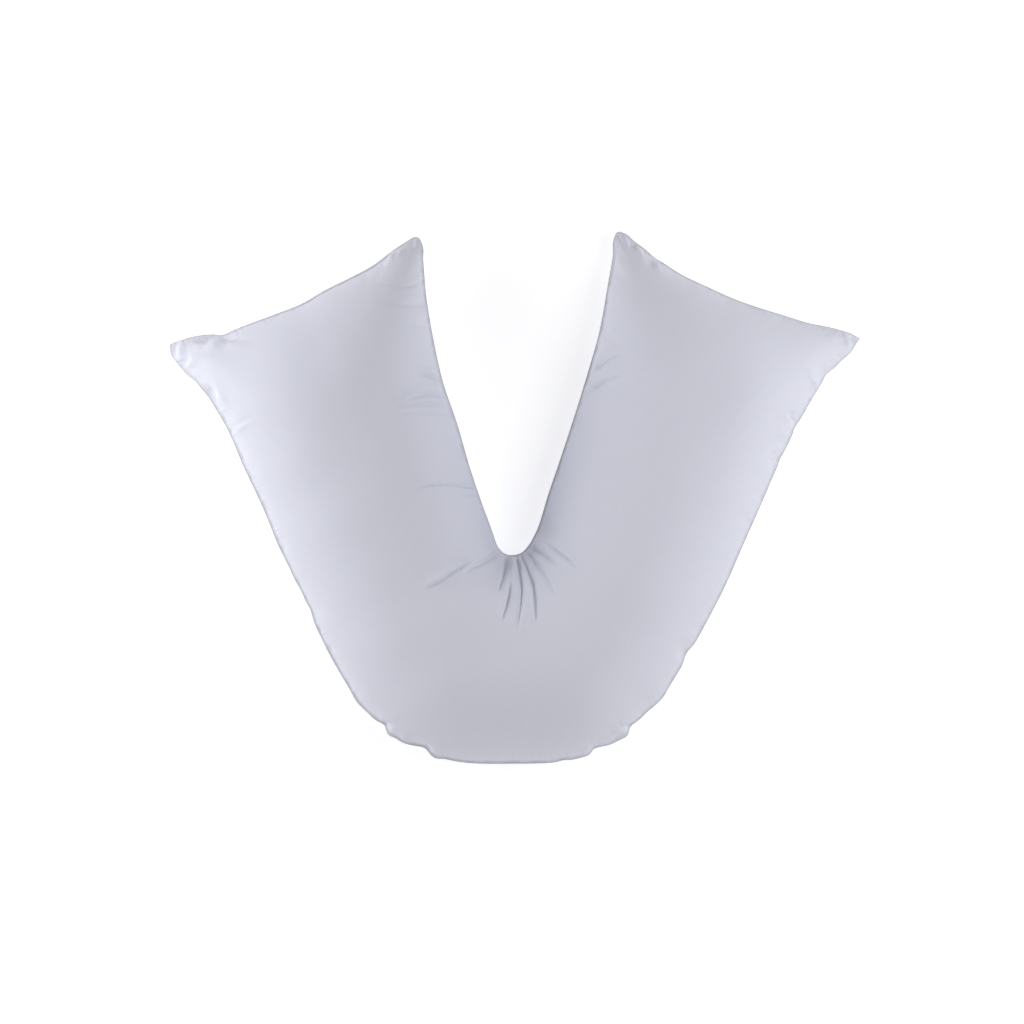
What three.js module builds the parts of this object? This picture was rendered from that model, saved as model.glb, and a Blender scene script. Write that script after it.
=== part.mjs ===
// A V shaped bed pillow lying on its back. Two V shaped panels of plain cloth are sewn together
// round their edge and stuffed, so the pillow is one filled solid: a crowned front panel, a back
// panel that its weight presses flat on the surface below, and a sharp seam where the two meet.
// Millimetres, +Z up. The arms of the V point to +Y. The origin is under the middle of the pillow's
// box, on the surface that it lies on.

import * as THREE from "three";

// Driving dimensions
const SPAN = 800; // between the two outer corners
const SEAM_HEIGHT = 60; // of the edge seam above the surface, along the arms and the foot
const ARM_CROWN = 86; // rise of the front panel above the seam, along the arms
const FOOT_CROWN = 94; // the same, in the foot of the V
const FOOT_FOCUS = 4; // how closely the foot's extra crown keeps to the foot
const END_RUN = 150; // how far from an end seam the filling reaches its full height
const CORNER_DROOP = 24; // how far the thin corners hang below the rest of the seam
const MIDDLE_DROOP = 0.5; // share of that droop in the middle of an end seam
const DROOP_RUN = 120; // how far along the arm the droop dies out

// The filling draws each end seam in at its middle, and pushes it out beside the inner corner
const END_BOW = 17;
const END_BOW_SHAPE = 1.8; // over 1, so that the bow eases in from both corners
const END_BOW_RUN = 190; // how far along the arm the bow dies out
const CORNER_PUSH = 4.5;
const CORNER_PUSH_AT = 0.06; // share of the way from the inner corner to the outer corner
const CORNER_PUSH_WIDTH = 0.09;

// How the filling rounds the panels: 0 at a seam, 1 at the crown
const ROUNDNESS = 2.3;
const EDGE_SLOPE = 0.64;
const BACK_FULLNESS = 1.25; // over 1, so that the middle of the back panel is pressed flat
const BACK_ROUNDING = 1.45;

// A pucker's crease is deepest part of the way along its run, and tapers to both sides of that
const PUCKER_PEAK = 0.5;
const PUCKER_TAPER = 1.6;

// A crease's profile is a trough between two soft shoulders
const TROUGH = 1.35;
const SHOULDER = 0.35;
const SHOULDER_SPREAD = 2.4;
const CREASE_FADE = 2; // how soon a crease reaches its full depth as the panel rises from the seam
const CREASE_ROOM = 0.8; // the most of the panel's rise above the seam that a crease may take

// Mesh steps
const STATIONS = 128; // along the V, spaced on the outer seam
const COLUMNS = 18; // from the inner seam to the outer seam
const END_DENSITY = 8; // how much closer together the stations are at an end seam
const END_REACH = 10; // how far from the end seam that dies out
const PUCKER_DENSITY = 1.5; // how much closer together they are at a pucker
const PUCKER_REACH = 14;
const CREASE_STEPS = 24; // along each crease
const FINE = 400; // steps along a seam where it is measured
const END_FINE = 100; // the same across an end seam
const TANGENT_REACH = 3; // fine steps to each side, for a seam's direction
const NUDGE = 1e-3; // share of the way along or across the pillow, for a surface's slope

// The tables give plan positions in thousandths of the span
const UNIT = SPAN / 1000;

// One row for each section of the filled pillow, from the end of one arm round the foot to the end
// of the other: where it meets the seam on the inside of the V, and on the outside.
const SECTIONS = [
  { inner: [-136, 377], outer: [-500, 223] }, // end seam of the left arm
  { inner: [-131, 341], outer: [-485, 189] },
  { inner: [-127, 290], outer: [-452, 155] },
  { inner: [-118, 233], outer: [-419, 104] },
  { inner: [-104, 169], outer: [-393, 45] },
  { inner: [-83, 107], outer: [-365, -15] },
  { inner: [-66, 48], outer: [-341, -73] },
  { inner: [-49, -3], outer: [-311, -132] },
  { inner: [-34, -44], outer: [-285, -194] },
  { inner: [-24, -69], outer: [-253, -254] },
  { inner: [-18, -77], outer: [-213, -309] },
  { inner: [-12, -82], outer: [-159, -354] },
  { inner: [-7, -85], outer: [-88, -380] },
  { inner: [-1, -85], outer: [-2, -384] }, // foot of the V, under the notch
  { inner: [5, -84], outer: [82, -379] },
  { inner: [11, -80], outer: [146, -353] },
  { inner: [17, -73], outer: [202, -299] },
  { inner: [24, -63], outer: [241, -248] },
  { inner: [36, -38], outer: [276, -186] },
  { inner: [49, 5], outer: [305, -130] },
  { inner: [66, 55], outer: [331, -71] },
  { inner: [86, 116], outer: [357, -12] },
  { inner: [105, 177], outer: [385, 52] },
  { inner: [123, 241], outer: [415, 113] },
  { inner: [134, 302], outer: [447, 167] },
  { inner: [142, 349], outer: [476, 199] },
  { inner: [147, 387], outer: [500, 233] }, // end seam of the right arm
];

// Puckers, where the seam is drawn in and a short crease runs from it into the front panel: the
// place on the seam, how far the seam is drawn in, the crease's half width, its run and its depth,
// in millimetres.
const PUCKERS = [
  { at: [-191, -332], draw: 4, width: 8, run: 34, depth: 5 }, // foot, left
  { at: [-134, -366], draw: 7, width: 8, run: 34, depth: 5 },
  { at: [-104, -380], draw: 1.5, width: 7, run: 24, depth: 2.5 },
  { at: [71, -382], draw: 2.5, width: 8, run: 24, depth: 2.5 }, // foot, right
  { at: [118, -366], draw: 6.5, width: 9, run: 34, depth: 5 },
  { at: [169, -334], draw: 7, width: 9, run: 44, depth: 5 },
  { at: [249, -230], draw: 2, width: 9, run: 30, depth: 3 },
  { at: [-464, 169], draw: 1.5, width: 9, run: 24, depth: 5 }, // outer seam, left arm
  { at: [-443, 145], draw: 2, width: 10, run: 30, depth: 5 },
  { at: [453, 178], draw: 2, width: 9, run: 28, depth: 4 }, // outer seam, right arm
  { at: [408, 102], draw: 1.5, width: 9, run: 26, depth: 3 },
  { at: [-426, 238], draw: 6, width: 8, run: 38, depth: 6 }, // end seams
  { at: [203, 348], draw: 1.5, width: 8, run: 22, depth: 4 },
];

// Creases of the front panel, each a trough through three places, its half width and depth in
// millimetres. A rooted crease is deepest at its first place, on the seam; a loose one in its middle.
const CREASES = [
  { path: [[-25, -86], [-69, -98], [-127, -131]], width: 7, depth: 5, rooted: true }, // notch fan
  { path: [[-22, -87], [-47, -97], [-83, -114]], width: 6, depth: 3, rooted: true },
  { path: [[-9, -87], [-15, -111], [-21, -135]], width: 6, depth: 5, rooted: true },
  { path: [[-5, -124], [-9, -151], [-18, -178]], width: 6, depth: 3.5, rooted: false },
  { path: [[4, -87], [11, -134], [5, -183]], width: 6, depth: 6, rooted: true },
  { path: [[11, -90], [25, -125], [30, -177]], width: 6, depth: 6, rooted: true },
  { path: [[22, -86], [44, -115], [62, -143]], width: 6, depth: 3, rooted: true },
  { path: [[25, -74], [46, -86], [62, -100]], width: 6, depth: 3, rooted: true },
  { path: [[38, -62], [69, -87], [92, -104]], width: 6, depth: 3.5, rooted: true },
  { path: [[-58, 13], [-98, 19], [-142, 16]], width: 8, depth: 3.5, rooted: true }, // left arm
  { path: [[-106, 168], [-126, 174], [-146, 172]], width: 7, depth: 2.5, rooted: true },
  { path: [[-98, 146], [-126, 151], [-158, 145]], width: 7, depth: 2.5, rooted: true },
  { path: [[-93, 128], [-130, 136], [-175, 136]], width: 8, depth: 2.5, rooted: true },
  { path: [[126, 191], [137, 201], [153, 210]], width: 8, depth: 2.5, rooted: true }, // right arm
  { path: [[120, 162], [133, 172], [152, 178]], width: 7, depth: 2.5, rooted: true },
];

const { clamp, lerp } = THREE.MathUtils;
const bell = (x) => Math.exp(-x * x);
const clamp01 = (x) => clamp(x, 0, 1);
const plan = ([x, y]) => new THREE.Vector2(x * UNIT, y * UNIT);
const steps = (count) => Array.from({ length: count }, (_, i) => i / count);

const innerSeam = new THREE.SplineCurve(SECTIONS.map((row) => plan(row.inner)));
const outerSeam = new THREE.SplineCurve(SECTIONS.map((row) => plan(row.outer)));

// Distance along the pillow's middle line, for finding how far a section is from each end
const middlePoint = (t) => innerSeam.getPoint(t).lerp(outerSeam.getPoint(t), 0.5);
const middleLine = [0];
for (let i = 1; i <= FINE; i++) {
  const step = middlePoint((i - 1) / FINE).distanceTo(middlePoint(i / FINE));
  middleLine.push(middleLine[i - 1] + step);
}

function fromEnds(t) {
  const i = Math.min(FINE - 1, Math.floor(t * FINE));
  const left = lerp(middleLine[i], middleLine[i + 1], t * FINE - i);
  const right = middleLine[FINE] - left;
  return { left, right, nearer: Math.min(left, right) };
}

// Rise of a stuffed panel at a share of the way from a seam (0) to the crown (1)
function rounded(share) {
  return (1 - (1 - clamp01(share)) ** ROUNDNESS) ** EDGE_SLOPE;
}

// How far the filling moves an end seam along the arm at share v of the way to the outer corner
function endBow(v) {
  const drawnIn = END_BOW * Math.sin(Math.PI * v) ** END_BOW_SHAPE;
  return drawnIn - CORNER_PUSH * bell((v - CORNER_PUSH_AT) / CORNER_PUSH_WIDTH);
}

// One point of a section in plan: t runs along the pillow, v from the inner seam to the outer seam
function planPoint(t, v) {
  const inner = innerSeam.getPoint(t);
  const outer = outerSeam.getPoint(t);
  const towardsNext = new THREE.Vector2(inner.y - outer.y, outer.x - inner.x).normalize();
  const { left, right } = fromEnds(t);
  const near = (distance) => (1 - clamp01(distance / END_BOW_RUN)) ** 2;
  return inner.lerp(outer, v).addScaledVector(towardsNext, (near(left) - near(right)) * endBow(v));
}

// The edge seam as a closed line in plan, inside on its left, for placing the puckers
const seamLine = [
  ...steps(FINE).map((share) => planPoint(share, 1)),
  ...steps(END_FINE).map((share) => planPoint(1, 1 - share)),
  ...steps(FINE).map((share) => planPoint(1 - share, 0)),
  ...steps(END_FINE).map((share) => planPoint(0, share)),
];

const puckers = PUCKERS.map((row) => {
  const away = seamLine.map((point) => point.distanceTo(plan(row.at)));
  const near = away.indexOf(Math.min(...away));
  const next = seamLine[(near + TANGENT_REACH) % seamLine.length];
  const last = seamLine[(near + seamLine.length - TANGENT_REACH) % seamLine.length];
  const tangent = next.clone().sub(last).normalize();
  return { ...row, at: seamLine[near], tangent, inward: new THREE.Vector2(-tangent.y, tangent.x) };
});

const creases = CREASES.map((row) => ({
  ...row,
  points: new THREE.SplineCurve(row.path.map(plan)).getPoints(CREASE_STEPS),
}));

// Where the puckers move a plan point to, and how deep their creases are there
function puckered(point) {
  const moved = point.clone();
  let depth = 0;
  for (const pucker of puckers) {
    const from = point.clone().sub(pucker.at);
    const along = from.dot(pucker.tangent) / pucker.width;
    const inwards = Math.max(0, from.dot(pucker.inward)) / pucker.run;
    moved.addScaledVector(pucker.inward, pucker.draw * bell(along) * bell(inwards));
    depth += pucker.depth * bell(along) * bell(PUCKER_TAPER * (inwards - PUCKER_PEAK));
  }
  return { moved, depth };
}

// Depth of the front panel's creases at a plan point
function creased(point) {
  let depth = 0;
  for (const crease of creases) {
    const away = crease.points.map((p) => p.distanceTo(point));
    const distance = Math.min(...away);
    const run = away.indexOf(distance) / CREASE_STEPS;
    const strength = crease.rooted ? Math.sqrt(1 - run * run) : Math.sin(Math.PI * run);
    const across = distance / crease.width;
    const profile = TROUGH * bell(across) - SHOULDER * bell(across / SHOULDER_SPREAD);
    depth += crease.depth * strength * profile;
  }
  return depth;
}

// Heights of the seam, the front panel and the back panel at one place, and how filled it is there
function heights(t, v) {
  const fromEnd = fromEnds(t).nearer;
  const filled = rounded(fromEnd / END_RUN) * rounded(1 - Math.abs(2 * v - 1));
  const crown = lerp(ARM_CROWN, FOOT_CROWN, Math.sin(Math.PI * t) ** FOOT_FOCUS);
  const corner = lerp(MIDDLE_DROOP, 1, (2 * v - 1) ** 2);
  const seam = SEAM_HEIGHT - CORNER_DROOP * corner * (1 - clamp01(fromEnd / DROOP_RUN)) ** 2;
  const pressed = clamp01(filled * BACK_FULLNESS);
  return { seam, front: seam + crown * filled, back: seam * (1 - pressed) ** BACK_ROUNDING, filled };
}

// A point of the "front" or "back" panel before it is creased
function panelPoint(t, v, panel) {
  const { moved } = puckered(planPoint(t, v));
  return new THREE.Vector3(moved.x, moved.y, heights(t, v)[panel]);
}

// A point of the front panel, set in along the surface's normal by the puckers and creases
function frontPoint(t, v) {
  const here = panelPoint(t, v, "front");
  const along = panelPoint(Math.min(1, t + NUDGE), v, "front")
    .sub(panelPoint(Math.max(0, t - NUDGE), v, "front"));
  const across = panelPoint(t, Math.min(1, v + NUDGE), "front")
    .sub(panelPoint(t, Math.max(0, v - NUDGE), "front"));
  const normal = across.cross(along).normalize();
  const flat = planPoint(t, v);
  const { seam, filled } = heights(t, v);
  const depth = (puckered(flat).depth + creased(flat)) * clamp01(CREASE_FADE * filled);
  return here.addScaledVector(normal, -Math.min(depth, CREASE_ROOM * (here.z - seam)));
}

// Shares along the pillow, closer together on the outer seam at the ends and at the puckers
function stationList() {
  const measured = [0];
  for (let i = 1; i <= FINE; i++) {
    const point = outerSeam.getPoint(i / FINE);
    const step = point.distanceTo(outerSeam.getPoint((i - 1) / FINE));
    const atEnd = END_DENSITY * Math.exp(-fromEnds(i / FINE).nearer / END_REACH);
    const near = puckers.map((pucker) => bell(pucker.at.distanceTo(point) / PUCKER_REACH));
    const density = 1 + atEnd + PUCKER_DENSITY * Math.max(...near);
    measured.push(measured[i - 1] + step * density);
  }
  const stations = steps(STATIONS).map((share) => {
    const wanted = share * measured[FINE];
    const i = measured.findIndex((length) => length > wanted);
    return (i - 1 + (wanted - measured[i - 1]) / (measured[i] - measured[i - 1])) / FINE;
  });
  return [...stations, 1];
}

// Both panels on one grid, sharing their points along the seam
function pillowGeometry() {
  const stations = stationList();
  const shares = [...steps(COLUMNS), 1].map((step) => (1 - Math.cos(Math.PI * step)) / 2);
  const positions = [];
  const index = [];
  const addPoint = (point) => positions.push(...point.toArray()) / 3 - 1;
  const isSeam = (i, j) => i === 0 || i === STATIONS || j === 0 || j === COLUMNS;
  const front = stations.map((t) => shares.map((v) => addPoint(frontPoint(t, v))));
  const back = stations.map((t, i) =>
    shares.map((v, j) => (isSeam(i, j) ? front[i][j] : addPoint(panelPoint(t, v, "back")))),
  );
  const addFace = (panel, i, j, faceUp) => {
    const [a, b] = [panel[i][j], panel[i + 1][j]];
    const [c, d] = [panel[i + 1][j + 1], panel[i][j + 1]];
    index.push(...(faceUp ? [a, d, c, a, c, b] : [a, c, d, a, b, c]));
  };
  for (let i = 0; i < STATIONS; i++) {
    for (let j = 0; j < COLUMNS; j++) {
      addFace(front, i, j, true);
      addFace(back, i, j, false);
    }
  }
  const geometry = new THREE.BufferGeometry();
  geometry.setAttribute("position", new THREE.Float32BufferAttribute(positions, 3));
  geometry.setIndex(index);
  geometry.computeBoundingBox();
  const { min, max } = geometry.boundingBox;
  return geometry.translate(-(min.x + max.x) / 2, -(min.y + max.y) / 2, -min.z);
}

const cloth = new THREE.MeshStandardMaterial({ color: 0xe2e3ee, roughness: 0.85, metalness: 0 });
const pillow = new THREE.Mesh(pillowGeometry(), cloth);
pillow.name = "pillow";

const part = new THREE.Group();
part.add(pillow);

export default part;
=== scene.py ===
# A V shaped bed pillow lying on its back: its cover as it looks once it is sewn and stuffed.
# Metres, +Z up, the arms of the V to +Y. Where a name says mm the value is in millimetres, and plan
# places in the tables are in thousandths of the span between the two outer corners.

import math

import bpy
import numpy as np
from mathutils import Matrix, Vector
from mathutils.bvhtree import BVHTree
from mathutils.interpolate import poly_3d_calc
from mathutils.kdtree import KDTree


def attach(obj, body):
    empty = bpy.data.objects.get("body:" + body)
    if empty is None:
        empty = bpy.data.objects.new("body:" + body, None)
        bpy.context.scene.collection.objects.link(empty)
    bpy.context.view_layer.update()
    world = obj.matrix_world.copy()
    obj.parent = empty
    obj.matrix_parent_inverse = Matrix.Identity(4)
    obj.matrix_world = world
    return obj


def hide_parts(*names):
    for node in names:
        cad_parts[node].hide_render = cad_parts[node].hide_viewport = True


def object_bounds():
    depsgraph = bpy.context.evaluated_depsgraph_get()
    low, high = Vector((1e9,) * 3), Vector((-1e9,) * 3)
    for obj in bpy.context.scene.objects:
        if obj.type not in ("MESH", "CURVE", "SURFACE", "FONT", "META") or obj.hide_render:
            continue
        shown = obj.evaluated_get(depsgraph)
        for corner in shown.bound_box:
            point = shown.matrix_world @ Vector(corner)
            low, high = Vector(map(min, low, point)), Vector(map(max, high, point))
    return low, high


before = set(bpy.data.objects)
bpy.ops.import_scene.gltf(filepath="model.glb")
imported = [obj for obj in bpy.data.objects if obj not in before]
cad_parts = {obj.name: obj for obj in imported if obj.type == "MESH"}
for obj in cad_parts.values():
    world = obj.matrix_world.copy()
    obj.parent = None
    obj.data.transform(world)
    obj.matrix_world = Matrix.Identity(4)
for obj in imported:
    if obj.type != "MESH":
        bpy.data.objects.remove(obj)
cad_low, cad_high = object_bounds()

MM = 0.001
SPAN = cad_high.x - cad_low.x
UNIT = SPAN / 1000
SEED = 7

# The filled form
SEAM_HEIGHT = 60 * MM
ARM_CROWN = 86 * MM  # the front panel's rise over the seam, in the arms and at the foot
FOOT_CROWN = 94 * MM
FOOT_FOCUS = 4  # the more, the shorter the stretch with the foot's crown
END_RUN = 150 * MM  # how far from its end seam an arm is fully stuffed
CORNER_DROOP = 24 * MM
MIDDLE_DROOP = 0.5  # how much of that the middle of the end seam droops
DROOP_RUN = 120 * MM
END_BOW_RUN = 190 * MM
ROUNDNESS = 2.3
EDGE_SLOPE = 0.64
BACK_FULLNESS = 1.25  # the more, the wider the flat part of the back
BACK_ROUNDING = 1.45
LIP = 2.6 * MM  # the seam's flat edge, stiff with the allowances behind it
LIP_RISE = 1 * MM
SMALLEST = 1e-12  # keeps a length that may be 0 from dividing by 0

# Where each section of the pillow meets the seam on the inside of the V, and on the outside
SECTIONS = (
    ((-136, 378), (-502, 223)),  # end seam of the left arm
    ((-131, 341), (-485, 189)),
    ((-127, 290), (-452, 155)),
    ((-118, 233), (-419, 104)),
    ((-104, 169), (-393, 45)),
    ((-83, 107), (-365, -15)),
    ((-66, 48), (-341, -73)),
    ((-49, -3), (-311, -132)),
    ((-34, -44), (-285, -194)),
    ((-26, -67), (-253, -255)),
    ((-21, -75), (-215, -310)),
    ((-15, -80.5), (-160, -355)),
    ((-8, -83), (-88, -382)),
    ((-1, -83), (-2, -386)),  # foot of the V, under the notch
    ((6, -81.5), (82, -381)),
    ((12.5, -78), (147, -355)),
    ((18.5, -71.5), (204, -301)),
    ((25, -62), (241, -248)),
    ((36, -38), (276, -186)),
    ((49, 5), (305, -130)),
    ((66, 55), (331, -71)),
    ((86, 116), (357, -12)),
    ((105, 177), (385, 52)),
    ((123, 241), (415, 113)),
    ((134, 302), (447, 167)),
    ((142, 349), (475.5, 200)),
    ((147, 387), (503, 232)),  # end seam of the right arm
)

# How far the filling draws each end seam in, at tenths of the way from the inner to the outer corner
LEFT_END_BOW_MM = (-5, 0, 8, 11, 13, 17, 16, 14.5, 12.5, 3, 0)
RIGHT_END_BOW_MM = (-2, 3, 10.5, 15.5, 16.5, 17, 15, 11.5, 8, 1.5, 0)

# How far each corner's rounding reaches along its seams: inner and outer corners of each arm
LEFT_ROUNDING_MM = (9, 4)
RIGHT_ROUNDING_MM = (6, 2.5)

# Nicks, where the thread draws the seam in, and bulges, where the draw is less than 0: place, draw,
# half width, how lopsided it is, and the run and depth of the dent beside it
NICKS = (
    ((-320, -119), -1, 12, 0, 14, 0),  # foot, left
    ((-295, -164), 1.5, 9, 0, 14, 0.5),
    ((-228, -296), -1.5, 12, 0, 14, 0),
    ((-191, -332), 3, 6, 0.3, 6, 0.8),
    ((-182, -345), -2.5, 6, 0, 8, -0.8),
    ((-165, -354), -1.5, 12, 0, 12, 0),
    ((-132, -365), 4.4, 10, 0.3, 9, 0.9),
    ((-115, -377), -2.4, 8, 0, 9, -0.6),
    ((71, -382), 1.5, 7, 0, 10, 0.6),  # foot, right
    ((118, -366), 5, 9, -0.4, 9, 1),
    ((159, -347), -1.5, 6, 0, 12, -0.5),
    ((161, -341), -1, 5, 0, 8, -1),
    ((170, -333), 3.5, 7, -0.5, 8, 1.2),
    ((190, -313), 1.2, 10, 0, 14, 0),
    ((216, -290), -1.5, 12, 0, 14, 0),
    ((251, -226), 3, 10, 0, 14, 0.8),
    ((-464, 169), 1, 8, 0, 14, 1),  # outer seam, left arm
    ((-443, 145), 0.7, 8, 0, 16, 1.4),
    ((453, 178), 2, 8, 0, 16, 1.2),  # outer seam, right arm
    ((408, 102), 1.5, 8, 0, 14, 1),
    ((386, 56), 1, 8, 0, 14, 0.6),
    ((-426, 238), 2.5, 6, 0.4, 16, 1),  # end seams
    ((203, 348), 1, 8, 0, 14, 1.2),
    ((-497, 208), -2.5, 9, 0, 12, 0),  # the corners are blunt
    ((486, 212), -2.2, 11, 0, 12, 0),
    ((487, 240), -1, 8, 0, 12, 0),
    ((143, 370), -2, 9, 0, 12, 0),
    ((162, 381), -2, 8, 0, 12, 0),
    ((-133, 362), -2, 9, 0, 12, 0),
)
WAY_REACH = 8  # steps of the seam line on each side that give its direction
DENT_FALL = 1.6  # a dent beside a nick fades this fast inwards, and is deepest half way along its run
DENT_START = 0.8

# Creases of the front panel: three places, half width, depth, where it is deepest, and how much
# cloth is pushed up beside it, on the left of its way if more than 0 and on the right if less
CREASES = (
    (((-58, -89), (-88, -107), (-127, -131)), 1.6, 5.2, "middle", -0.9),  # the fan out of the notch
    (((-24, -80), (-44, -92), (-70, -105)), 2.8, 4.2, "root", -0.4),
    (((-9, -86), (-15, -111), (-22, -135)), 2.5, 4.6, "root", 0.6),
    (((-6, -122), (-10, -146), (-19, -178)), 1.6, 3.8, "middle", -0.9),
    (((4, -86), (11, -134), (5, -183)), 2.1, 5, "root", 0.6),
    (((11, -88), (25, -125), (30, -177)), 2.1, 5, "root", -0.6),
    (((22, -84), (44, -115), (62, -143)), 3.2, 3, "root", 0.8),
    (((25, -74), (46, -86), (62, -100)), 2.8, 3.6, "root", 0.6),
    (((46, -66), (69, -83), (90, -101)), 2.3, 3.2, "middle", 0.9),
    (((-58, 14), (-98, 20), (-142, 15)), 1.5, 4.6, "root", 0.5),  # left arm
    (((-106, 168), (-122, 176), (-138, 176)), 1.7, 4.6, "root", -0.6),
    (((-98, 146), (-126, 149), (-158, 142)), 2, 4, "root", -0.6),
    (((-95, 132), (-130, 135), (-175, 131)), 2.3, 3.6, "root", -0.6),
    (((-92, 121), (-130, 125), (-165, 122)), 2.8, 2.4, "root", -0.4),
    (((-131, 312), (-165, 306), (-200, 310)), 3, 1.6, "root", -0.6),
    (((-125, 282), (-160, 279), (-195, 284)), 3, 1.6, "root", -0.6),
    (((-119, 250), (-150, 249), (-190, 255)), 3, 1.6, "root", -0.6),
    (((126, 191), (137, 201), (153, 210)), 2.6, 3.4, "root", 0.6),  # right arm
    (((120, 162), (133, 172), (152, 178)), 2.6, 3.4, "root", 0.6),
    (((451, 177), (436, 173), (428, 160)), 2.2, 3.6, "root", 1),
    (((412, 105), (404, 112), (398, 126)), 2.2, 3, "root", 1),
    (((-426, 236), (-410, 229), (-388, 228)), 2.2, 3.2, "root", -1),  # beside the left outer corner
    (((168, -333), (160, -331), (150, -329)), 2, 2.2, "root", -0.6),  # short ones at the nicks of the foot
    (((166, -341), (156, -341), (142, -346)), 2.2, 1.6, "root", -0.5),
    (((117, -363), (108, -361), (96, -362)), 2.2, 1.8, "root", 0.5),
    (((-190, -330), (-180, -327), (-168, -327)), 2, 1.8, "root", 0.5),
    (((-131, -362), (-124, -366), (-114, -372)), 1.8, 1.8, "root", 0.5),
)
CREASE_STEPS = 60
CREASE_REACH = 6  # half widths from the line of a crease to where it has faded
ROOT_WIDENING = 0.5  # how much wider a crease is where it leaves the seam
CREASE_LEVEL = 0.4  # the trough: its depth, how fast it fades sideways and how round its bottom is
CREASE_FALL = 1.3
CREASE_TIP = 0.3
RELIEF = 0.3  # low swell on both sides of the trough
RELIEF_WIDTH = 2.4
PUSHED_UP_AT = 1.7  # half widths from the middle of the crease

# Small dents and bumps at the corners: place, the bearing of its long side in degrees from +X,
# half length, half width, and depth, which is less than 0 where the cloth stands up
TIP_FOLDS = (
    ((-494, 219), 100, 7, 3.5, 4),  # left outer corner
    ((-484, 214), 96, 9, 2.8, -3.2),
    ((-480, 196), 40, 8, 4, 4),
    ((-470, 200), 60, 10, 5, -1.6),
    ((-452, 230), 8, 12, 3.5, 4.4),
    ((-438, 219), 20, 9, 4, -3),
    ((-441, 151), 118, 9, 3.5, 4.4),
    ((-427, 152), 118, 12, 4.5, -3.2),
    ((-396, 102), 35, 9, 4, -1.8),
    ((-389, 111), 35, 9, 4, 1.4),
    ((483, 228), 95, 8, 2.2, -3),  # right outer corner
    ((490, 226), 95, 7, 2.6, 3),
    ((433, 172), 118, 10, 3, -2.4),
    ((172, 370), 120, 5, 3, 3),  # inner corners
    ((183, 355), 120, 7, 3, -2),
    ((207, 336), 110, 6, 3, -2.4),
    ((-178, 350), 60, 6, 2.6, -2.6),
    ((-165, 357), 60, 6, 2.6, -2.6),
    ((-150, 368), 130, 9, 4, 2.4),
)

# Mesh steps
STATIONS = 860
STATION_DENSITY = ((0, 1.4), (0.2, 1.4), (0.28, 1.5), (0.33, 0.9), (0.8, 0.9), (0.85, 1.2), (1, 1.2))
COLUMNS = 69
FINE = 2000
COLUMN_DENSITY = ((0, 2.2), (0.1, 1.9), (0.25, 1.5), (0.4, 0.7), (0.85, 0.8), (1, 2))
END_DENSITY = 1.5
END_REACH = 15 * MM

# The cloth of the filled pillow, run on a copy with even faces
VOXEL = 5 * MM
PRESSURE = 4
FRAMES = 20
SPARE_CLOTH = 0.06
SPARE_RUN = 45 * MM
LARGEST_MOVE = 9 * MM
HELD_EDGE = 7 * MM
MOVING_EDGE = 16 * MM
PRESSED_FLAT = 1.5 * MM
SLACK = 0.97  # the panels start this much lower, because the filling raises them
SOLVER_QUALITY = 6
BENDING_STIFFNESS = 0.1

# Puckers beside the seam
PUCKER_SPACING_MM = (7, 26)
PUCKER_WIDTH_MM = (2.6, 5)
PUCKER_RUN_MM = (12, 40)
PUCKER_DEPTH_MM = (0.2, 1.3)
PUCKER_SLANT = 0.35
PUCKER_FALL = 1.4
PUCKER_START = 0.4
PUCKER_SIDE_REACH = 4
PUCKER_RUN_REACH = 3
NOTCH_CLEARANCE = 60 * MM
CORNER_FADE = 4 * MM
FAR_FROM_SEAM = 100 * MM

# Where the creases, dents and puckers fade out
CREASED_FROM = 0.25  # share of the full crown
DEEPEST = 0.8  # share of the height over the seam
SEAM_EASE = 2 * MM
REST_EASE = 6 * MM

# Broad unevenness of the filling
LUMP_WAVES = 24
LUMP_LENGTH_MM = (55, 170)
LUMP_DEPTH = 0.8 * MM


def bell(x):
    return np.exp(-x * x)


def share_of(x):
    return np.clip(x, 0, 1)


def eased(x):
    x = share_of(x)
    return x * x * (3 - 2 * x)


def spline(points, share):
    """Places at the given shares along a smooth line through all of the points."""
    points = np.asarray(points, float)
    last = len(points) - 1
    place = share_of(share) * last
    before = np.minimum(place.astype(int), last - 1)
    weight = (place - before)[..., None]
    a, b, c, d = (points[np.clip(before + step, 0, last)] for step in (-1, 0, 1, 2))
    leave = (c - a) / 2
    arrive = (d - b) / 2
    cubic = 2 * b - 2 * c + leave + arrive
    square = 3 * c - 3 * b - 2 * leave - arrive
    return ((cubic * weight + square) * weight + leave) * weight + b


def running_length(line, axis=0):
    """Distance along a line of points, from its first point to each."""
    steps = np.linalg.norm(np.diff(line, axis=axis), axis=-1)
    total = np.cumsum(steps, axis=axis)
    return np.concatenate([np.zeros_like(np.take(total, [0], axis)), total], axis)


inner_points = [np.array(inner) * UNIT for inner, _ in SECTIONS]
outer_points = [np.array(outer) * UNIT for _, outer in SECTIONS]
fine_shares = np.linspace(0, 1, FINE + 1)
fine_inner = spline(inner_points, fine_shares)
fine_outer = spline(outer_points, fine_shares)
middle_length = running_length((fine_inner + fine_outer) / 2)


def from_ends(along):
    """Distances of a section from the end seam of the left arm, and of the right arm."""
    left = np.interp(along, fine_shares, middle_length)
    return left, middle_length[-1] - left


def rounded(share):
    """Rise of a stuffed panel at a share of the way from a seam, 0, to the crown, 1."""
    return (1 - (1 - share_of(share)) ** ROUNDNESS) ** EDGE_SLOPE


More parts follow.
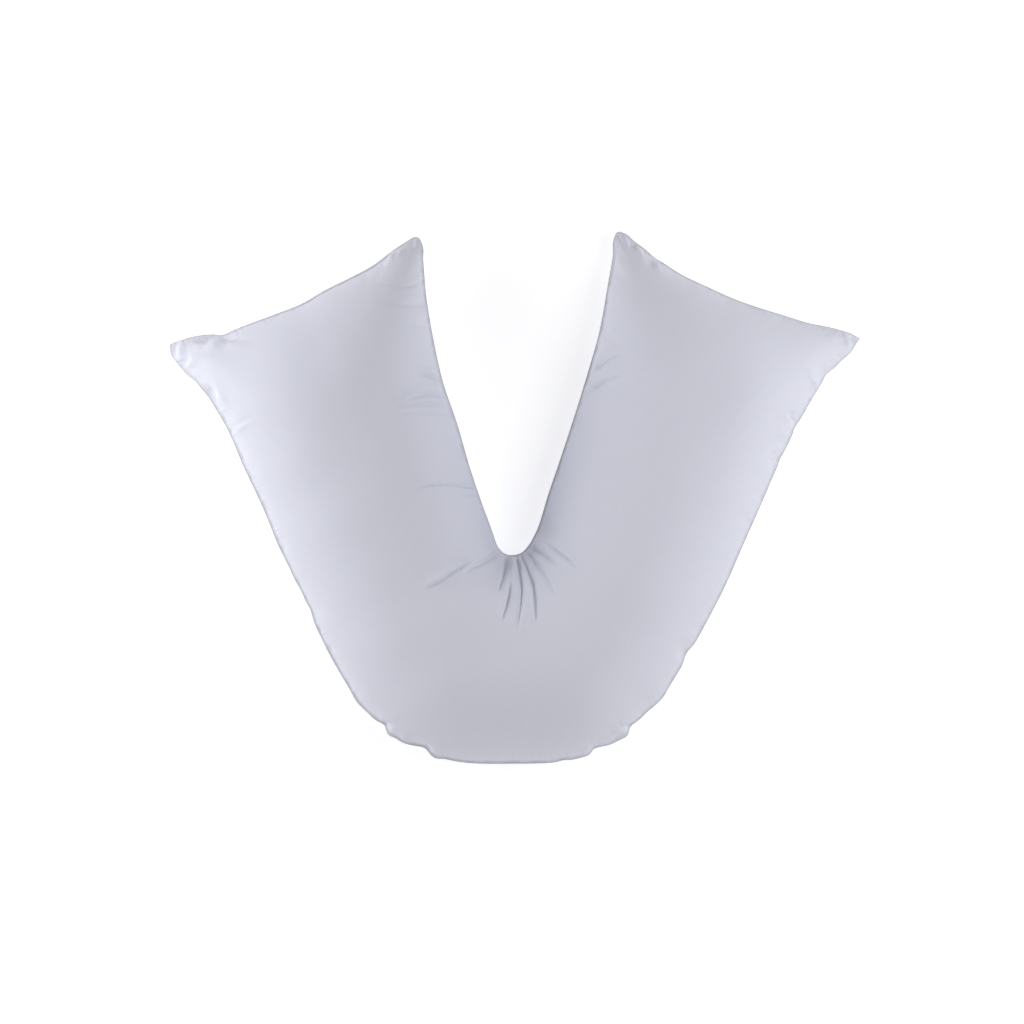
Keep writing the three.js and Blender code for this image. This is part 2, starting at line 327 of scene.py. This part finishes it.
def plan_points(along, across):
    """Plan places at shares along the pillow, and across it from the inner to the outer seam."""
    inner = spline(inner_points, along)
    outer = spline(outer_points, along)
    way = outer - inner
    towards_next = np.stack([-way[..., 1], way[..., 0]], -1)
    towards_next /= np.linalg.norm(towards_next, axis=-1, keepdims=True)
    left, right = from_ends(along)
    bow = 0
    for distance, table, sign in ((left, LEFT_END_BOW_MM, 1), (right, RIGHT_END_BOW_MM, -1)):
        drawn = spline(np.array(table)[:, None] * MM, across)[..., 0]
        bow = bow + sign * drawn * (1 - share_of(distance / END_BOW_RUN)) ** 2
    return inner + way * across[..., None] + towards_next * bow[..., None]


def corners_rounded(along, across):
    """Shares along and across, moved so that the corners of the grid come out round."""
    left, right = from_ends(along)
    from_end = np.minimum(left, right)
    width = np.linalg.norm(spline(outer_points, along) - spline(inner_points, along), axis=-1)
    from_side = width * (0.5 - np.abs(across - 0.5))
    outer = (across > 0.5).astype(int)
    left_reach = np.take(LEFT_ROUNDING_MM, outer)
    right_reach = np.take(RIGHT_ROUNDING_MM, outer)
    reach = np.where(left < right, left_reach, right_reach) * MM
    x = share_of(1 - from_end / reach)
    y = share_of(1 - from_side / reach)
    from_end = from_end + reach * x * (1 - np.sqrt(1 - y * y / 2))
    from_side = from_side + reach * y * (1 - np.sqrt(1 - x * x / 2))
    from_left = np.where(left < right, from_end, middle_length[-1] - from_end)
    side_share = from_side / width
    return np.interp(from_left, middle_length, fine_shares), np.where(outer, 1 - side_share, side_share)


def seam_loop():
    """The edge seam as a closed line in plan, with the inside on its left."""
    steps = np.linspace(0, 1, FINE, endpoint=False)
    end_steps = np.linspace(0, 1, FINE // 4, endpoint=False)
    return np.concatenate([
        plan_points(steps, np.ones_like(steps)),
        plan_points(np.ones_like(end_steps), 1 - end_steps),
        plan_points(1 - steps, np.zeros_like(steps)),
        plan_points(np.zeros_like(end_steps), end_steps),
    ])


def placed_nicks(line):
    """Each nick with its nearest place on the seam, the seam's direction there and its inward side."""
    placed = []
    for at, draw, width, skew, run, depth in NICKS:
        near = int(np.argmin(np.linalg.norm(line - np.array(at) * UNIT, axis=1)))
        tangent = line[(near + WAY_REACH) % len(line)] - line[near - WAY_REACH]
        tangent /= np.linalg.norm(tangent)
        inward = np.array([-tangent[1], tangent[0]])
        placed.append((line[near], tangent, inward, draw * MM, width * MM, skew, run * MM, depth * MM))
    return placed


seam_line = seam_loop()
nicks = placed_nicks(seam_line)

# From the places in the tables to the frame of the solid: the same middle across, and the same foot
shift = np.array([
    (cad_low.x + cad_high.x - seam_line[:, 0].min() - seam_line[:, 0].max()) / 2,
    cad_low.y - seam_line[:, 1].min(),
    0,
])


def nicked(points):
    """Where the nicks move plan places to, and how deep the dents that start there are."""
    moved = points.copy()
    depth = np.zeros(points.shape[:-1])
    for at, tangent, inward, draw, width, skew, run, deep in nicks:
        offset = points - at
        beside = offset @ tangent / width
        beside = beside * (1 + skew * np.sign(beside))
        inwards = np.maximum(0, offset @ inward)
        moved += inward * (draw * bell(beside) * bell(inwards / run))[..., None]
        depth += deep * bell(beside) * bell(DENT_FALL * inwards / run - DENT_START)
    return moved, depth


def pushed_up(across):
    """Cloth pushed up beside a crease: it stands steeply over the crease and falls slowly away."""
    across = np.maximum(across, 0) / PUSHED_UP_AT
    return across * np.exp(1 - across)


def creased(points):
    """Depth of the front panel's creases at plan places: a trough, with cloth pushed up beside it."""
    depth = np.zeros(points.shape[:-1])
    for path, width, deep, deepest, lean in CREASES:
        line = spline(np.array(path) * UNIT, np.linspace(0, 1, CREASE_STEPS))
        ways = np.gradient(line, axis=0)
        ways /= np.linalg.norm(ways, axis=1, keepdims=True)
        width = width * MM
        low = line.min(0) - CREASE_REACH * width
        high = line.max(0) + CREASE_REACH * width
        near = np.all((points > low) & (points < high), axis=-1)
        offset = points[near][:, None] - line[None]
        away = np.linalg.norm(offset, axis=-1)
        closest = away.argmin(axis=1)
        run = closest / (len(line) - 1)
        nearest = offset[np.arange(len(closest)), closest]
        way = ways[closest]
        left = way[:, 0] * nearest[:, 1] - way[:, 1] * nearest[:, 0]
        if deepest == "root":
            strength = np.sqrt(1 - run**2)
            width = width * (1 + ROOT_WIDENING * (1 - run))
        else:
            strength = np.sin(math.pi * run)
        across = away.min(axis=1) / width * np.where(left >= 0, 1, -1)
        raised = max(lean, 0) * pushed_up(across) + max(-lean, 0) * pushed_up(-across)
        trough = np.exp(CREASE_LEVEL - CREASE_FALL * np.hypot(across, CREASE_TIP))
        profile = (1 + RELIEF) * trough - RELIEF * bell(across / RELIEF_WIDTH) - raised
        depth[near] += deep * MM * strength * profile
    return depth


def tip_folded(points):
    """Depth of the corners' small dents and bumps at plan places."""
    depth = np.zeros(points.shape[:-1])
    for at, bearing, half_length, half_width, deep in TIP_FOLDS:
        offset = points - np.array(at) * UNIT
        turn = math.radians(bearing)
        along = offset @ np.array([math.cos(turn), math.sin(turn)]) / (half_length * MM)
        across = offset @ np.array([-math.sin(turn), math.cos(turn)]) / (half_width * MM)
        depth += deep * MM * bell(along) * bell(across)
    return depth


def heights(along, across):
    """Heights of the seam, the front panel and the back panel, and how filled the pillow is."""
    from_end = np.minimum(*from_ends(along))
    half_width = np.linalg.norm(spline(outer_points, along) - spline(inner_points, along), axis=-1) / 2
    from_side = half_width * (1 - np.abs(2 * across - 1))
    filled_along = rounded((from_end - LIP) / (END_RUN - LIP))
    filled = filled_along * rounded((from_side - LIP) / (half_width - LIP))
    lip = LIP_RISE * share_of(np.minimum(from_end, from_side) / LIP)
    crown = ARM_CROWN + (FOOT_CROWN - ARM_CROWN) * np.sin(math.pi * along) ** FOOT_FOCUS
    corner = MIDDLE_DROOP + (1 - MIDDLE_DROOP) * (2 * across - 1) ** 2
    seam = SEAM_HEIGHT - CORNER_DROOP * corner * (1 - share_of(from_end / DROOP_RUN)) ** 2
    pressed = share_of(filled * BACK_FULLNESS)
    return seam, seam + lip + crown * filled, (seam - lip) * (1 - pressed) ** BACK_ROUNDING, filled


def grid_shares():
    """Shares along and across the pillow for a regular grid of faces."""
    from_end = np.minimum(*from_ends(fine_shares))
    density = np.interp(fine_shares, *zip(*STATION_DENSITY))
    density += END_DENSITY * np.exp(-from_end / END_REACH)
    steps = np.linalg.norm(np.diff(fine_outer, axis=0), axis=1)
    measured = np.concatenate([[0], np.cumsum(steps * (density[1:] + density[:-1]) / 2)])
    along = np.interp(np.linspace(0, measured[-1], STATIONS + 1), measured, fine_shares)
    density = np.interp(fine_shares, *zip(*COLUMN_DENSITY))
    measured = np.concatenate([[0], np.cumsum(density[1:] + density[:-1])])
    across = np.interp(np.linspace(0, measured[-1], COLUMNS + 1), measured, fine_shares)
    return np.meshgrid(along, across, indexing="ij")


def normals_of(grid):
    """Unit normals of a grid of points, up out of the front panel."""
    normal = np.cross(np.gradient(grid, axis=1), np.gradient(grid, axis=0))
    return normal / np.maximum(np.linalg.norm(normal, axis=-1, keepdims=True), SMALLEST)


def seam_places(panel):
    """For each point of a panel, its place along the nearest stretch of seam and its distance from it.

    Places on the four stretches follow one another, so that each place is a different one. The last
    result falls to 0 where two stretches are equally near, which is inwards from each corner.
    """
    across = running_length(panel, 1)
    along = running_length(panel, 0)
    distances = np.stack([across, across[:, -1:] - across, along, along[-1:] - along])
    stretches = (along[:, :1], along[:, -1:], across[:1], across[-1:])
    start = 0
    places = []
    for stretch in stretches:
        places.append(np.broadcast_to(start + stretch, across.shape))
        start += stretch.max() + 1
    nearest = distances.argmin(axis=0)[None]
    place = np.take_along_axis(np.stack(places), nearest, 0)[0]
    first, second = np.sort(distances, axis=0)[:2]
    apart = share_of((second - first) / CORNER_FADE)
    return place, first, np.maximum(apart, 1 - share_of(first / CORNER_FADE))


def puckered(panel, plan, chance):
    """Depth of the fine puckers that run into a panel from its seam."""
    place, inwards, clear = seam_places(panel)
    notch = np.linalg.norm(plan - np.array(SECTIONS[len(SECTIONS) // 2][0]) * UNIT, axis=-1)
    depth = np.zeros(place.shape)
    at = 0
    while at < place.max():
        at += chance.uniform(*PUCKER_SPACING_MM) * MM
        width = chance.uniform(*PUCKER_WIDTH_MM) * MM
        run = chance.uniform(*PUCKER_RUN_MM) * MM
        deep = chance.uniform(*PUCKER_DEPTH_MM) * MM
        slant = chance.uniform(-PUCKER_SLANT, PUCKER_SLANT)
        sideways = PUCKER_SIDE_REACH * width + PUCKER_SLANT * run
        near = (np.abs(place - at) < sideways) & (inwards < PUCKER_RUN_REACH * run)
        beside = (place[near] - at - slant * inwards[near]) / (width * (1 + inwards[near] / run))
        depth[near] += deep * bell(beside) * bell(PUCKER_FALL * inwards[near] / run - PUCKER_START)
    return depth * clear * share_of(notch / NOTCH_CLEARANCE - 1)


def lumps(plan, chance):
    """Broad uneven places where the filling lies thicker or thinner."""
    height = np.zeros(plan.shape[:-1])
    for _ in range(LUMP_WAVES):
        turn = chance.uniform(0, 2 * math.pi)
        length = chance.uniform(*LUMP_LENGTH_MM) * MM
        phase = chance.uniform(0, 2 * math.pi)
        way = plan @ np.array([math.cos(turn), math.sin(turn)])
        height += np.sin(2 * math.pi * way / length + phase)
    return height * LUMP_DEPTH / math.sqrt(LUMP_WAVES / 2)


def cover_faces(rows, columns):
    """Faces of both panels, which share their points along the seam, and the back's inner points.

    The last result numbers the faces' corners as if the panels shared nothing, front panel first.
    """
    numbers = np.arange(rows * columns).reshape(rows, columns)
    inside = np.zeros((rows, columns), bool)
    inside[1:-1, 1:-1] = True
    below = numbers.copy()
    below[inside] = rows * columns + np.arange(inside.sum())

    def faces(panel, order):
        corners = (panel[:-1, :-1], panel[1:, :-1], panel[1:, 1:], panel[:-1, 1:])
        return np.stack([corners[k] for k in order], -1).reshape(-1, 4)

    front = faces(numbers, (0, 3, 2, 1))
    back = faces(below, (0, 1, 2, 3))
    apart = faces(numbers + rows * columns, (0, 1, 2, 3))
    return np.concatenate([front, back]), inside, np.concatenate([front, apart])


def made_mesh(name, points, faces):
    mesh = bpy.data.meshes.new(name)
    mesh.from_pydata(points.tolist(), [], faces.tolist())
    mesh.shade_smooth()
    return mesh


def linked(name, data):
    """A new object in the scene, from its mesh, lamp or camera."""
    made = bpy.data.objects.new(name, data)
    bpy.context.collection.objects.link(made)
    return made


def mesh_points(mesh):
    points = np.empty(len(mesh.vertices) * 3)
    mesh.vertices.foreach_get("co", points)
    return points.reshape(-1, 3)


def add_map(mesh, name, places, corners):
    """Gives a mesh a flat map: the corners of its faces lie at the places with the given numbers."""
    layer = mesh.uv_layers.new(name=name)
    layer.data.foreach_set("uv", places[corners.ravel()].ravel())


def sharpen(mesh, on_edge):
    """Marks the lines between points on the edge as sharp."""
    ends = np.empty(2 * len(mesh.edges), np.int32)
    mesh.edges.foreach_get("vertices", ends)
    mesh.edges.foreach_set("use_edge_sharp", on_edge[ends.reshape(-1, 2)].all(axis=1))


def flat_cut(panel, flat):
    """Where each point of a panel lies in the flat cut, with the threads along +X and +Y."""
    inner = flat[:, :1]
    outer = flat[:, -1:]
    way = outer - inner
    way /= np.linalg.norm(way, axis=-1, keepdims=True)
    across = running_length(panel, 1)
    return (inner + outer) / 2 + way * (across - across[:, -1:] / 2)[..., None]


def evaluated_mesh(piece):
    return bpy.data.meshes.new_from_object(piece.evaluated_get(bpy.context.evaluated_depsgraph_get()))


def subdivided(mesh, points):
    """The faces and points of a mesh after one subdivision, with its own points put elsewhere first."""
    copy = mesh.copy()
    copy.vertices.foreach_set("co", points.ravel())
    piece = linked("subdivided_copy", copy)
    subdivision = piece.modifiers.new("subdivision", "SUBSURF")
    subdivision.levels = 1
    subdivision.render_levels = 1
    result = evaluated_mesh(piece)
    bpy.data.objects.remove(piece)
    return result


def filled_moves(points, faces, from_seam):
    """How far each point of the cover moves once the cloth is filled.

    The cloth runs on a copy with even faces. Its seam and the part that lies on the surface are
    held, and there is a little spare cloth beside the seam, so that it puckers there.
    """
    stand_in = linked("filled_copy", made_mesh("filled_copy", points, faces))
    remesh = stand_in.modifiers.new("remesh", "REMESH")
    remesh.mode = "VOXEL"
    remesh.voxel_size = VOXEL
    even = evaluated_mesh(stand_in)
    stand_in.modifiers.clear()
    stand_in.data = even
    start = mesh_points(even)

    tree = KDTree(len(points))
    for number, point in enumerate(points):
        tree.insert(point, number)
    tree.balance()
    distance = np.array([from_seam[tree.find(point)[1]] for point in start])
    held = stand_in.vertex_groups.new(name="held")
    spare = stand_in.vertex_groups.new(name="spare")
    for number in np.flatnonzero((distance < HELD_EDGE) | (start[:, 2] < PRESSED_FLAT)):
        held.add([int(number)], 1, "REPLACE")
    for number, weight in enumerate(1 - eased(distance / SPARE_RUN)):
        spare.add([number], float(weight), "REPLACE")

    cloth = stand_in.modifiers.new("filling", "CLOTH")
    settings = cloth.settings
    settings.quality = SOLVER_QUALITY
    settings.bending_stiffness = BENDING_STIFFNESS
    settings.use_pressure = True
    settings.uniform_pressure_force = PRESSURE
    settings.vertex_group_mass = held.name
    settings.vertex_group_shrink = spare.name
    settings.shrink_min = 0
    settings.shrink_max = -SPARE_CLOTH
    settings.effector_weights.gravity = 0
    cloth.point_cache.frame_start = 1
    cloth.point_cache.frame_end = FRAMES
    for number in range(1, FRAMES + 1):
        bpy.context.scene.frame_set(number)
    end = mesh_points(evaluated_mesh(stand_in))
    bpy.context.scene.frame_set(1)
    bpy.data.objects.remove(stand_in)

    move = end - start
    length = np.linalg.norm(move, axis=1, keepdims=True)
    end = start + move * np.minimum(1, LARGEST_MOVE / np.maximum(length, SMALLEST))
    before = subdivided(even, start)
    after = mesh_points(subdivided(even, end))
    places = mesh_points(before)
    polygons = [tuple(face.vertices) for face in before.polygons]
    surface = BVHTree.FromPolygons(places.tolist(), polygons)
    moves = np.zeros_like(points)
    for number in np.flatnonzero(from_seam > HELD_EDGE / 2):
        place, _, face, _ = surface.find_nearest(Vector(points[number]))
        corners = polygons[face]
        weights = poly_3d_calc([Vector(places[corner]) for corner in corners], place)
        moves[number] = sum(w * (after[c] - places[c]) for w, c in zip(weights, corners))
    fade = eased((from_seam - HELD_EDGE / 2) / (MOVING_EDGE - HELD_EDGE / 2))
    return moves * fade[:, None]


def with_filling(front, back, seam, faces, inside, from_seam):
    """Both panels as the filling shapes them."""
    slack_front = front.copy()
    slack_front[..., 2] = seam + (front[..., 2] - seam) * SLACK
    points = np.concatenate([slack_front.reshape(-1, 3), back[inside]])
    moves = filled_moves(points, faces, from_seam)
    front_moves, back_moves = np.split(moves, [inside.size])
    back[inside] += back_moves
    return slack_front + front_moves.reshape(front.shape), back


def make_pillow():
    along, across = grid_shares()
    flat = plan_points(*corners_rounded(along, across))
    moved, nick_depth = nicked(flat)
    seam, front_height, back_height, filled = heights(along, across)
    faces, inside, corners = cover_faces(*along.shape)
    front = np.concatenate([moved, front_height[..., None]], -1)
    back = np.concatenate([moved, back_height[..., None]], -1)
    front_beside = seam_places(front)
    back_beside = seam_places(back)
    front_from_seam = front_beside[1]
    back_from_seam = back_beside[1]
    from_seam = np.concatenate([front_from_seam.ravel(), back_from_seam[inside]])
    front, back = with_filling(front, back, seam, faces, inside, from_seam)

    chance = np.random.default_rng(SEED)
    depth = (nick_depth + creased(flat)) * share_of(filled / CREASED_FROM) + tip_folded(flat)
    depth = depth + puckered(front, flat, chance) - lumps(flat, chance) * share_of(filled)
    depth = np.minimum(depth, DEEPEST * (front[..., 2] - seam))
    depth = depth * share_of(front_from_seam / SEAM_EASE)
    front = front - normals_of(front) * depth[..., None]
    free = share_of(back[..., 2] / REST_EASE) * share_of(back_from_seam / SEAM_EASE)
    back_depth = puckered(back, flat, chance) * free
    back = back + normals_of(back) * back_depth[..., None]
    back[..., 2] = np.maximum(back[..., 2], 0)

    points = np.concatenate([front.reshape(-1, 3), back[inside]])
    mesh = made_mesh("pillow_cover", points + shift, faces)
    cut = [flat_cut(panel, flat).reshape(-1, 2) for panel in (front, back)]
    add_map(mesh, "cut", np.concatenate(cut), corners)
    seam_map = [
        np.stack([place, distance + FAR_FROM_SEAM * (1 - clear)], -1).reshape(-1, 2)
        for place, distance, clear in (front_beside, back_beside)
    ]
    add_map(mesh, "seam", np.concatenate(seam_map), corners)
    sharpen(mesh, np.concatenate([~inside.ravel(), np.zeros(inside.sum(), bool)]))
    return linked("pillow_cover", mesh)


class Value:
    """A number that varies over a surface. Expressions on it add the material's Math nodes."""

    def __init__(self, finish, socket):
        self.finish = finish
        self.socket = socket

    def math(self, operation, *others):
        inputs = dict(enumerate((self, *others)))
        return self.finish.node("ShaderNodeMath", {"operation": operation}, inputs)["Value"]

    def __add__(self, other):
        return self.math("ADD", other)

    def __sub__(self, other):
        return self.math("SUBTRACT", other)

    def __rsub__(self, other):
        return self * -1 + other

    def __mul__(self, other):
        return self.math("MULTIPLY", other)

    __radd__ = __add__
    __rmul__ = __mul__


class Finish:
    """A material: one surface, and the nodes that vary it over a piece."""

    def __init__(self, name):
        self.material = bpy.data.materials.new(name)
        self.material.use_nodes = True
        self.tree = self.material.node_tree
        self.surface = self.tree.nodes["Principled BSDF"]

    def fill(self, node, inputs):
        """Gives a node's sockets their values or links, by name or by place."""
        for key, given in inputs.items():
            if isinstance(given, Value):
                self.tree.links.new(given.socket, node.inputs[key])
            else:
                node.inputs[key].default_value = given

    def node(self, kind, settings, inputs):
        """Adds a node, its settings first and then its sockets, and gives its outputs by name."""
        node = self.tree.nodes.new(kind)
        for name, setting in settings.items():
            setattr(node, name, setting)
        self.fill(node, inputs)
        return {output.name: Value(self, output) for output in node.outputs if output.enabled}

    def noise(self, place, size, detail, roughness=0.5, distortion=0):
        """Noise on a flat map, with one size along X and one along Y."""
        scale = (1 / size[0], 1 / size[1], 1)
        sized = self.node("ShaderNodeVectorMath", {"operation": "MULTIPLY"}, {0: place, 1: scale})
        inputs = {
            "Vector": sized["Vector"], "Scale": 1, "Detail": detail, "Roughness": roughness,
            "Distortion": distortion,
        }
        return self.node("ShaderNodeTexNoise", {"noise_dimensions": "2D"}, inputs)["Fac"]

    def blend(self, share, first, second):
        inputs = {"Factor": share, "A": first, "B": second}
        return self.node("ShaderNodeMix", {"data_type": "RGBA"}, inputs)["Result"]


# Cover cloth: a smooth fine plain weave
CLOTH = (0.755, 0.765, 0.86, 1)
# painted shade: the cloth's colour in the low places between the threads
THREAD_GAP_SHADE = (0.65, 0.66, 0.745, 1)
# painted shade along the seam, as if in the groove where the panels meet
SEAM_SHADE = (0.48, 0.46, 0.48, 1)
THREAD = 0.5 * MM
THREAD_DEPTH = 0.05 * MM
SLUB_LENGTH = 16 * MM
SLUB_DEPTH = 0.03 * MM
CRUMPLE_SIZE = 14 * MM
CRUMPLE_DEPTH = 0.25 * MM
SLUB_SHADE = 0.3
WEAVE_SHADE = 0.8
SEAM_SHADE_WIDTH = 1 * MM
SEAM_SHADE_SHARE = 0.5  # how much of the shade there is everywhere; the rest comes and goes
STITCH = 2.5 * MM
STITCH_RUN = 3 * MM
STITCH_DEPTH = 0.12 * MM
FINE_PUCKER = 4 * MM
FINE_PUCKER_RUN = 26 * MM
FINE_PUCKER_DEPTH = 2 * MM
FINE_PUCKER_BEND = 0.8
PUCKERED_STRETCH = 50 * MM
CLOTH_ROUGHNESS = 0.9
THREAD_SMOOTHNESS = 0.15
SHEEN = 0.12
SHEEN_ROUGHNESS = 0.45


def woven(cloth, cut):
    """Height of a plain weave, from 0 between the threads to 1 on top of them."""
    threads = cloth.node("ShaderNodeSeparateXYZ", {}, {"Vector": cut})
    warp = (threads["X"] * (math.pi / THREAD)).math("SINE")
    weft = (threads["Y"] * (math.pi / THREAD)).math("SINE")
    warp_on_top = warp * weft * 0.5
    warp_height = warp.math("ABSOLUTE") * (0.5 + warp_on_top)
    weft_height = weft.math("ABSOLUTE") * (0.5 - warp_on_top)
    return warp_height.math("MAXIMUM", weft_height)


def cover_finish():
    cloth = Finish("cover_cloth")
    cut = cloth.node("ShaderNodeUVMap", {"uv_map": "cut"}, {})["UV"]
    weave = woven(cloth, cut)
    slubs = cloth.noise(cut, (THREAD, SLUB_LENGTH), 1) + cloth.noise(cut, (SLUB_LENGTH, THREAD), 1)
    crumple = cloth.noise(cut, (CRUMPLE_SIZE, CRUMPLE_SIZE), 3)

    seam = cloth.node("ShaderNodeUVMap", {"uv_map": "seam"}, {})["UV"]
    beside = cloth.node("ShaderNodeSeparateXYZ", {}, {"Vector": seam})

    def near_seam(width):
        distance = beside["Y"] * (1 / width)
        return distance.math("POWER", 2).math("MULTIPLY", -1).math("EXPONENT")

    stitches = (beside["X"] * (2 * math.pi / STITCH)).math("COSINE") * near_seam(STITCH_RUN)
    folds = cloth.noise(seam, (FINE_PUCKER, 3 * FINE_PUCKER_RUN), 2, distortion=FINE_PUCKER_BEND)
    puckers = folds * near_seam(FINE_PUCKER_RUN) * cloth.noise(seam, (PUCKERED_STRETCH, 1), 1)
    # patches where the painted shade along the seam is deeper or fainter
    seam_shade_patches = cloth.noise(seam, (4 * FINE_PUCKER, 4 * FINE_PUCKER), 2)

    height = weave * THREAD_DEPTH + slubs * SLUB_DEPTH + crumple * CRUMPLE_DEPTH
    height = height + stitches * STITCH_DEPTH + puckers * FINE_PUCKER_DEPTH
    bump = cloth.node("ShaderNodeBump", {}, {"Height": height, "Distance": 1, "Strength": 1})
    # painted shade between the threads, where the weave lies low; the slubs make the tone come and go
    colour = cloth.blend(weave * WEAVE_SHADE + slubs * SLUB_SHADE, THREAD_GAP_SHADE, CLOTH)
    # painted shade along the seam, deeper in some patches than in others
    seam_share = near_seam(SEAM_SHADE_WIDTH) * (SEAM_SHADE_SHARE + seam_shade_patches * (1 - SEAM_SHADE_SHARE))
    cloth.fill(cloth.surface, {
        "Base Color": cloth.blend(seam_share, colour, SEAM_SHADE),
        "Roughness": CLOTH_ROUGHNESS - weave * THREAD_SMOOTHNESS,
        "Normal": bump["Normal"],
        "Sheen Weight": SHEEN,
        "Sheen Roughness": SHEEN_ROUGHNESS,
        "IOR": 1.45,
        "Specular IOR Level": 0.3,
    })
    return cloth.material


def plain_finish(name, colour, roughness, glow):
    plain = Finish(name)
    plain.fill(plain.surface, {
        "Base Color": (*colour, 1),
        "Roughness": roughness,
        "Emission Color": (1, 1, 1, 1),
        "Emission Strength": glow,
    })
    return plain.material


pillow = make_pillow()
pillow.data.materials.append(cover_finish())

# The pale floor, which glows a little so that it comes out as white as in the photograph
FLOOR_REACH = 6
FLOOR_HEIGHT = -0.4 * MM
FLOOR_COLOUR = (0.6, 0.6, 0.6)
FLOOR_ROUGHNESS = 0.9
FLOOR_GLOW = 0.6
floor_corners = np.array([(-1, -1, 0), (1, -1, 0), (1, 1, 0), (-1, 1, 0)]) * FLOOR_REACH
floor_corners = floor_corners + (0, 0, FLOOR_HEIGHT)
floor = linked("floor", made_mesh("floor", floor_corners, np.array([[0, 1, 2, 3]])))
floor.data.materials.append(plain_finish("pale_floor", FLOOR_COLOUR, FLOOR_ROUGHNESS, FLOOR_GLOW))

# Soft studio light: the place, width, depth and power of each lamp, all turned to the pillow
LIGHTS = {
    "key_light": ((-1.2, 0.3, 0.4), 0.6, 0.5, 7),
    "side_fill": ((1.2, 0.25, 0.4), 0.6, 0.5, 2.8),
    "overhead_fill": ((1.0, 0, 1.8), 1.0, 1.0, 13),
    "foot_fill": ((-0.8, -1.6, 0.6), 1.0, 0.8, 4.2),
}
LIGHT_AIM = (0, 0, 0.05)
SURROUNDING_LIGHT = 0.32
for light_name, (place, width, depth, power) in LIGHTS.items():
    lamp = bpy.data.lights.new(light_name, "AREA")
    lamp.shape = "RECTANGLE"
    lamp.size = width
    lamp.size_y = depth
    lamp.energy = power
    light = linked(light_name, lamp)
    light.location = place
    light.rotation_euler = (Vector(LIGHT_AIM) - Vector(place)).to_track_quat("-Z", "Y").to_euler()
    light.visible_camera = False

world = bpy.data.worlds.new("studio")
bpy.context.scene.world = world
world.use_nodes = True
surroundings = world.node_tree.nodes["Background"]
surroundings.inputs["Color"].default_value = (1, 1, 1, 1)
surroundings.inputs["Strength"].default_value = SURROUNDING_LIGHT

# The camera looks straight down at the pillow's face from far off, as the photograph does
CAMERA_HEIGHT = 12.0
CAMERA_RANGE = 50
SENSOR_WIDTH = 36
IMAGE_SIZE = 1024
SPAN_IN_IMAGE = 689
TABLE_ORIGIN_IN_IMAGE = (514.5, 497.75)
pixel = SPAN / SPAN_IN_IMAGE
camera_data = bpy.data.cameras.new("camera")
camera_data.sensor_width = SENSOR_WIDTH
camera_data.lens = SENSOR_WIDTH * (CAMERA_HEIGHT - SEAM_HEIGHT) / (pixel * IMAGE_SIZE)
camera_data.clip_end = CAMERA_RANGE
camera = linked("camera", camera_data)
camera.location = (
    shift[0] + (IMAGE_SIZE / 2 - TABLE_ORIGIN_IN_IMAGE[0]) * pixel,
    shift[1] + (TABLE_ORIGIN_IN_IMAGE[1] - IMAGE_SIZE / 2) * pixel,
    CAMERA_HEIGHT,
)
bpy.context.scene.camera = camera
bpy.context.scene.view_settings.view_transform = "Standard"

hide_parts("pillow")
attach(pillow, "root")
